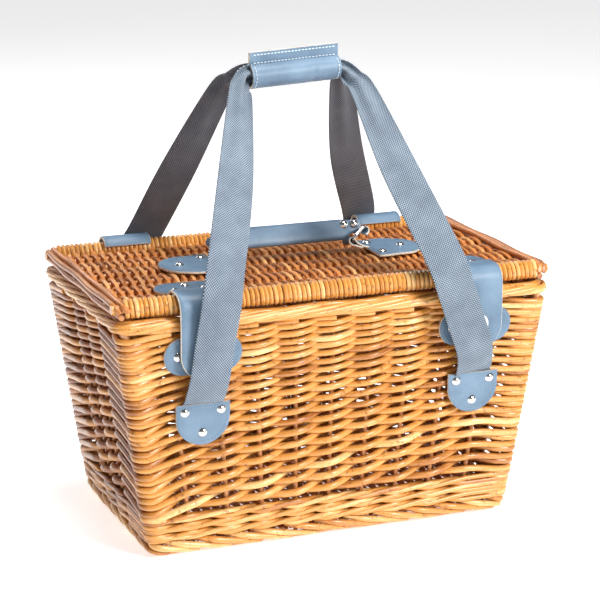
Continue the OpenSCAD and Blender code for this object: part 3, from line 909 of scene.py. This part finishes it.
# Latch straps: riveted wings, a step up on to the front roll, the bend, and the hanging tongue
TONGUE_Z = node_box("latch_tongue_left")[0].z
TONGUE_Y = -132.9       # the middle of its thickness
WING_Y = -80
BEND_Y, BEND_Z, BEND_R = -118.2, 242.2, 14.7
for side in ("left", "right"):
    x = node_x(f"latch_tongue_{side}")
    soup = Soup(LEATHER, EDGE, THREAD)
    low = panel_high.z + 0.1
    wing = stadium(62, 36)
    add_patch(soup, wing, low, low + LEATHER_THICK, Matrix.Translation((x, WING_Y, 0)), soft)
    add_stitches(soup, [Vector((x + a, WING_Y + b, low + 2.75 + soft(a, b)))
                        for a, b in inset(wing, 3)], True)
    path = [(-95, low + 1.5), (-98, low + 2.4), (-101.5, low + 4.6), (-105.5, 256.9), (-112, 257.2),
            (BEND_Y, 256.9)]
    path += arc(BEND_Y, BEND_Z, BEND_R, 100, 180, 8)
    path += [(TONGUE_Y - 0.5 * math.sin(i * 0.35), 240 - 4 * i) for i in range(1, 11)]
    flat_end = path[-1][1]
    pts = [(x, y, z) for y, z in path]
    halves = [BAND_HALF] * len(path)
    for i in range(1, 11):
        a = math.radians(9 * i)
        z = TONGUE_Z + BAND_HALF - BAND_HALF * math.sin(a)
        if z < flat_end - 0.5:
            pts.append((x, TONGUE_Y, z))
            halves.append(max(2.2, BAND_HALF * math.cos(a)))
    add_band(soup, pts, lambda i: XDIR, halves, LEATHER_THICK,
             lambda i, t: (0, 0.5 * math.sin(i * 0.5) * (1 - t * t) * 0.6), across=12)
    for s in (-1, 1):
        line = [(x + s * max(0.0, h - 3.2), p[1], p[2]) for p, h in zip(pts[4:], halves[4:])]
        shifted = []
        for i, p in enumerate(line):
            q, r = line[max(i - 1, 0)], line[min(i + 1, len(line) - 1)]
            tan = Vector((0, r[1] - q[1], r[2] - q[2])).normalized()
            shifted.append(Vector(p) + XDIR.cross(tan) * 1.4)
        add_stitches(soup, shifted[:-1])
    obj = soup.make(f"latch_strap_{side}")
    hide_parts(f"latch_root_{side}", f"latch_tongue_{side}")
    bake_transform(obj)

# Hinge loops round the rear roll
for side in ("left", "right"):
    node = f"hinge_loop_{side}"
    x = node_x(node)
    hinge_low, hinge_high = node_box(node)
    soup = Soup(LEATHER, EDGE, THREAD)
    cy, cz, r = roll_y + 0.5, roll_z + 1, 12.1
    path = arc(cy, cz, r, 156, -36, 24)
    path += [(hinge_high.y - 2.3, hinge_low.z + 3.4), (hinge_high.y - 1.5, hinge_low.z + 1.5)]
    add_band(soup, [(x, y, z) for y, z in path], lambda i: XDIR, [BAND_HALF] * len(path), LEATHER_THICK,
             lambda i, t: (0, 0), across=8)
    for s in (-1, 1):
        add_stitches(soup, [(x + s * 20.8, y, z) for y, z in arc(cy, cz, r + 1.42, 150, -18, 21)])
    finish_piece(soup.make(node + "_leather"), "lid", "leather", node)

# Tabs of the lid handle
TAB = (dense_line((0, -32), (24, -32), 6) + arc(24, 0, 32, -90, 90, 30) + dense_line((24, 32), (0, 32), 6)[1:]
       + dense_line((0, 32), (0, -32), 14))
_, HY, HZ = joint_at("lid_handle_swing")
for side, s in (("left", -1), ("right", 1)):
    outline = TAB if s > 0 else [(-a, b) for a, b in reversed(TAB)]
    matrix = Matrix.Translation((s * 80, HY, panel_high.z + 0.1))
    patch_piece(f"handle_tab_{side}_leather", "lid", f"handle_tab_{side}", outline, 0, matrix, 3.2,
                lambda a, b: 0.25 * math.sin(a * 0.2) * math.cos(b * 0.1))

LEAN = math.radians(35)
on_handle = Matrix.Translation((0, HY, HZ)) @ Matrix.Rotation(-LEAN, 4, "X")

# Grip: a folded, stitched leather band with a fold round each ring
soup = Soup(LEATHER, EDGE, THREAD)
grip_rows = []
n = 44
for i in range(n + 1):
    u = -1 + 2 * i / n
    x = u * 77
    end = ease((abs(x) - 54) / 14)
    top, bottom = 30 - 1.2 * end, 8.2 + 6.2 * end
    half_t = 4.3 - 1.1 * end + 0.25 * math.sin(x * 0.15)
    grip_rows.append((x, bottom, top, half_t))
rings = []
m = 20
for x, bottom, top, half_t in grip_rows:
    row = []
    cz, hz = (bottom + top) / 2, (top - bottom) / 2
    for k in range(m):
        a = 2 * math.pi * k / m
        c, sn = math.cos(a), math.sin(a)
        py = half_t * math.copysign(abs(c) ** 0.75, c)
        pz = cz + hz * math.copysign(abs(sn) ** 0.55, sn)
        if sn > 0.6:
            py *= 0.72
        row.append(soup.vertex(on_handle @ Vector((x, py, pz)), cloth=(x, pz, 0)))
    rings.append(row)
soup.skin(rings, lambda k: int(k == 5))
soup.face(tuple(rings[0]), 0)
soup.face(tuple(reversed(rings[-1])), 0)
for face in (-1, 1):
    for s in (-1, 1):
        for x in (54.5, 74.5):
            add_stitches(soup, [on_handle @ Vector((s * x, face * 3.3, z)) for z in (16, 20, 24, 28)])
for s in (-1, 1):          # the fold round the ring
    pts = [on_handle @ Vector((s * x, 0, z)) for x, z in arc(77, 17, 3.4, 240, -90, 15)]
    add_band(soup, pts, lambda i: Vector((0, 1, 0)), [9.0] * len(pts), 1.8, lambda i, t: (0, 0), across=6)
finish_piece(soup.make("handle_grip_leather"), "lid_handle", "leather", "handle_grip")

# Loop of each tab: out of the tab, round the ring's lower leg and back down
RING_X, RING_Z = 64.0, 6.5
for side, s in (("left", -1), ("right", 1)):
    soup = Soup(LEATHER, EDGE, THREAD)
    path = [(79.0, 0.4), (74.5, 1.2), (70.0, 3.6)]
    path += arc(RING_X, RING_Z, 3.1, 20, 260, 12)
    path += [(68.5, 1.6), (73.5, -0.6)]
    pts = [on_handle @ Vector((s * a, 0, b)) for a, b in path]
    add_band(soup, pts, lambda i: Vector((0, 1, 0)), [9.0] * len(pts), 1.9, lambda i, t: (0, 0), across=6)
    finish_piece(soup.make(f"handle_loop_{side}_leather"), "lid_handle", "leather", f"handle_loop_{side}")
    soup = Soup(STEEL)
    low, high = Vector((RING_X, 0, RING_Z)), Vector((77.5, 0, 17.0))
    corners = [leg + Vector((0, y, 0)) for leg, y in ((low, -11), (low, 11), (high, 11), (high, -11))]
    ring_pts = []
    for k in range(4):
        p, q, r = corners[k - 1], corners[k], corners[(k + 1) % 4]
        d0, d1 = (p - q).normalized(), (r - q).normalized()
        for j in range(6):
            w = j / 5
            ring_pts.append(q + d0 * 3.4 * (1 - w) ** 2 + d1 * 3.4 * w ** 2)
    soup.tube([on_handle @ Vector((s * p.x, p.y, p.z)) for p in ring_pts], 1.6, 0.5, 0,
              sides=10, closed=True)
    finish_piece(soup.make(f"handle_ring_{side}_steel"), "lid_handle", "steel", f"handle_ring_{side}")

# Carry straps: webbing that leans out past the rim and gathers into the grip
SX = node_x("front_anchor_right")
STRAP_Y = joint_at("front_carry_swing")[1]
GRIP_LOW, GRIP_HIGH = node_box("front_grip_wrap")
GRIP_Z = GRIP_LOW.z + 13
# x, y, z and half width of the front webbing, then of the rear one on its own side
LEFT_END = [(-SX, -119.6, 136, 19), (-SX, -120.9, 151, 19)]
RIGHT_END = [(-x, y, z, w) for x, y, z, w in reversed(LEFT_END)]
LEFT_TOP = [(-64, -28, GRIP_Z - 20, 13), (-57, -12, GRIP_Z - 8, 10.5), (-49.5, -4.6, GRIP_Z - 0.5, 8.5),
            (-36, -4.4, GRIP_Z, 8.5), (0, -4.4, GRIP_Z, 8.5)]
RIGHT_TOP = [(36, -4.4, GRIP_Z, 8.5), (49.5, -4.6, GRIP_Z - 0.5, 8.5), (56, -12, GRIP_Z - 8, 10.5),
             (62, -28, GRIP_Z - 20, 13)]
STRAPS = {
    "front": LEFT_END + [(-136.5, -127, 158, 19), (-135, -138, 180, 19), (-131, -141, 212, 19),
                         (-126, -144, 246, 19), (-120, -138, 274, 19), (-89, -81, 346, 18.5)] + LEFT_TOP
    + RIGHT_TOP + [(77, -81, 346, 18.5), (97, -138, 274, 19), (106, -144, 246, 19), (119, -141, 212, 19),
                   (131, -138, 180, 19), (136, -127, 158, 19)] + RIGHT_END,
    "rear": LEFT_END + [(-136, -127, 158, 19), (-131, -138.5, 180, 19), (-124, -138, 212, 19),
                        (-116, -134, 244, 19), (-109, -121, 266, 19), (-92, -72, 334, 18.5)] + LEFT_TOP
    + RIGHT_TOP + [(86, -72, 338, 18.5), (121, -121, 266, 19), (126, -134, 244, 19), (131, -138, 212, 19),
                   (134, -138.5, 180, 19), (136.5, -127, 158, 19)] + RIGHT_END,
}


def with_side(points, i):
    """The point with the direction of the webbing's width there."""
    a, b = Vector(points[max(i - 1, 0)][:3]), Vector(points[min(i + 1, len(points) - 1)][:3])
    t = (b - a).normalized()
    return [*points[i], *Vector((t.z, 0, -t.x)).normalized()]


for place, sy in (("front", 1), ("rear", -1)):
    rows = catmull([with_side(STRAPS[place], i) for i in range(len(STRAPS[place]))], 7)
    if sy < 0:
        rows = [[r[0], -r[1], *r[2:]] for r in rows]
    # The rear webbing takes the darker copy, which is painted shade.
    soup = Soup(WEB if sy > 0 else WEB_PAINTED_SHADE)

    def gather(i, t, rows=rows):
        w = rows[i][3]
        slack = max(0.0, 19 - w) / 10.5
        fold = 4.4 * slack * math.cos(t * math.pi * 1.5) + 0.45 * math.sin(i * 0.31) * (1 - t * t)
        return 0.0, fold * 0.9 - 1.2 * slack

    pts = [r[:3] for r in rows]
    add_band(soup, pts, lambda i, rows=rows: Vector(rows[i][4:7]), [r[3] for r in rows], 1.6, gather,
             across=18, edge=False)
    obj = soup.make(f"{place}_carry_webbing")
    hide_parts(f"{place}_carry_strap", f"{place}_strap_ends")
    y = sy * STRAP_Y
    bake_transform(obj)

# Leather wrap of the grip, in two halves, with a stitched flange on top
GRIP_TILT = math.tan(math.radians(3.2))
for place, sy in (("front", -1), ("rear", 1)):
    soup = Soup(LEATHER, EDGE, PALE_THREAD)
    half_l = (GRIP_HIGH.x - GRIP_LOW.x) / 2
    flange = GRIP_HIGH.z
    n = 40
    section = [(0.25, flange), (0.25, flange - 4), (0.3, flange - 8), (1.0, flange - 11.5)]
    section += [(11.9 * math.sin(math.radians(a)), GRIP_Z - 1.4 + 10.5 * math.cos(math.radians(a)))
                for a in range(32, 180, 12)]
    section += [(0.3, GRIP_Z - 11.9)]

    def warp(x, a, b):
        """The wrap rises a little to the right and has a crease two thirds along."""
        dent = 1.1 * math.exp(-((x - 17) / 1.8) ** 2) * min(1.0, max(0.0, (GRIP_Z + 6 - b) / 6))
        swell = 0.5 * math.cos(x * 0.06)
        return max(0.0, a - dent + (swell if b < GRIP_Z + 8 else 0)), b

    rings = []
    t_half = 1.1
    for i in range(n + 1):
        x = -half_l + 2 * half_l * i / n
        line = [warp(x, a, b) for a, b in section]
        row = []
        outer, inner = [], []
        for k, (a, b) in enumerate(line):
            p, q = line[max(k - 1, 0)], line[min(k + 1, len(line) - 1)]
            d = Vector((q[0] - p[0], q[1] - p[1])).normalized()
            nrm = Vector((-d.y, d.x)) * t_half
            outer.append((a + nrm.x + t_half, b + nrm.y) if k < 3 else (a + nrm.x, b + nrm.y))
            inner.append((max(0.12, a - nrm.x), b - nrm.y))
        loop = outer + list(reversed(inner))
        for a, b in loop:
            row.append(soup.vertex(Vector((x, sy * a, b + x * GRIP_TILT)), cloth=(x, b, 0)))
        rings.append(row)
    m = len(rings[0])
    soup.skin(rings, lambda k: int(k in (m // 2 - 1, m - 1)), sy > 0)
    for ring, flip in ((rings[0], sy > 0), (rings[-1], sy < 0)):
        for k in range(m // 2 - 1):
            quad = (ring[k], ring[k + 1], ring[m - 2 - k], ring[m - 1 - k])
            soup.face(tuple(reversed(quad)) if flip else quad, 1)
    for drop in (2.6, 10.2):
        add_stitches(soup, [(x, sy * (2.5 if drop < 5 else 2.9), flange - drop + x * GRIP_TILT)
                            for x in range(int(-half_l) + 3, int(half_l) - 2, 4)],
                     pitch=3.4, length=2.3, radius=0.55)
    for x in (-half_l + 3, half_l - 3):
        add_stitches(soup, [(x, sy * (13.1 * math.sin(math.radians(a)) + 0.3),
                             GRIP_Z - 1.4 + 11.6 * math.cos(math.radians(a)) + x * GRIP_TILT)
                            for a in range(30, 160, 10)], pitch=3.4, length=2.3, radius=0.5)
    finish_piece(soup.make(f"{place}_grip_leather"), f"{place}_carry", "leather", f"{place}_grip_wrap")

# ---------------------------------------------------------------- metal from the CAD

for name, obj in frame["nodes"].items():
    if obj.hide_render:
        continue
    obj.data.materials.clear()
    obj.data.materials.append(BRASSY if "knob" in name else STEEL)
    obj.data.polygons.foreach_set("use_smooth", [True] * len(obj.data.polygons))
    obj.data.set_sharp_from_angle(angle=math.radians(35))

# ---------------------------------------------------------------- floor, light and camera

floor_mesh = bpy.data.meshes.new("floor")
floor_mesh.from_pydata([(-9, -9, 0), (9, -9, 0), (9, 9, 0), (-9, 9, 0)], [], [(0, 1, 2, 3)])
floor = bpy.data.objects.new("floor", floor_mesh)
bpy.context.scene.collection.objects.link(floor)
m, t, s = new_material("floor_white")
t.links.new(ramp(t, noise(t, object_coords(t), 3.0), [(0.3, (0.95, 0.95, 0.95)), (0.7, (0.97, 0.97, 0.97))]),
            s.inputs["Base Color"])
s.inputs["Roughness"].default_value = 0.7
s.inputs["Emission Color"].default_value = (1, 1, 1, 1)
s.inputs["Emission Strength"].default_value = 0.64
floor_mesh.materials.append(m)

world = bpy.data.worlds.new("studio")
bpy.context.scene.world = world
world.use_nodes = True
wt = world.node_tree
coords = add(wt, "ShaderNodeTexCoord").outputs["Generated"]
split = add(wt, "ShaderNodeSeparateXYZ")
wt.links.new(coords, split.inputs["Vector"])
sky = ramp(wt, split.outputs["Z"],
           [(0.0, (1, 1, 1)), (0.02, (1, 1, 1)), (0.14, (0.22, 0.22, 0.23)), (0.8, (0.08, 0.08, 0.09))])
wt.links.new(sky, wt.nodes["Background"].inputs["Color"])
wt.nodes["Background"].inputs["Strength"].default_value = 1.0


def area_light(name, location, target, size, power, colour=(1, 1, 1)):
    data = bpy.data.lights.new(name, "AREA")
    data.shape = "RECTANGLE"
    data.size, data.size_y = size
    data.energy = power
    data.color = colour
    obj = bpy.data.objects.new(name, data)
    obj.location = location
    obj.rotation_euler = (Vector(target) - Vector(location)).to_track_quat("-Z", "Y").to_euler()
    bpy.context.scene.collection.objects.link(obj)


area_light("key", (1.0, -2.0, 1.5), (0, 0, 0.15), (0.8, 0.8), 66, (1.0, 0.98, 0.95))
area_light("top", (0.1, -0.2, 2.2), (0, 0, 0.2), (0.9, 0.9), 40)
area_light("back", (-0.6, 2.2, 1.6), (0, 0, 0.1), (1.4, 1.0), 14)

camera_data = bpy.data.cameras.new("camera")
camera = bpy.data.objects.new("camera", camera_data)
bpy.context.scene.collection.objects.link(camera)
camera_data.lens = 126.75
camera_data.sensor_width = 36
camera_data.clip_end = 60
YAW, PITCH, ROLL = math.radians(21.73), math.radians(14.84), math.radians(-0.09)
camera.location = (-0.7367, -1.8666, 0.7388)
camera.rotation_euler = (Matrix.Rotation(-YAW, 3, "Z") @ Matrix.Rotation(math.pi / 2 - PITCH, 3, "X")
                         @ Matrix.Rotation(-ROLL, 3, "Z")).to_euler()
bpy.context.scene.camera = camera
bpy.context.scene.view_settings.view_transform = "Standard"
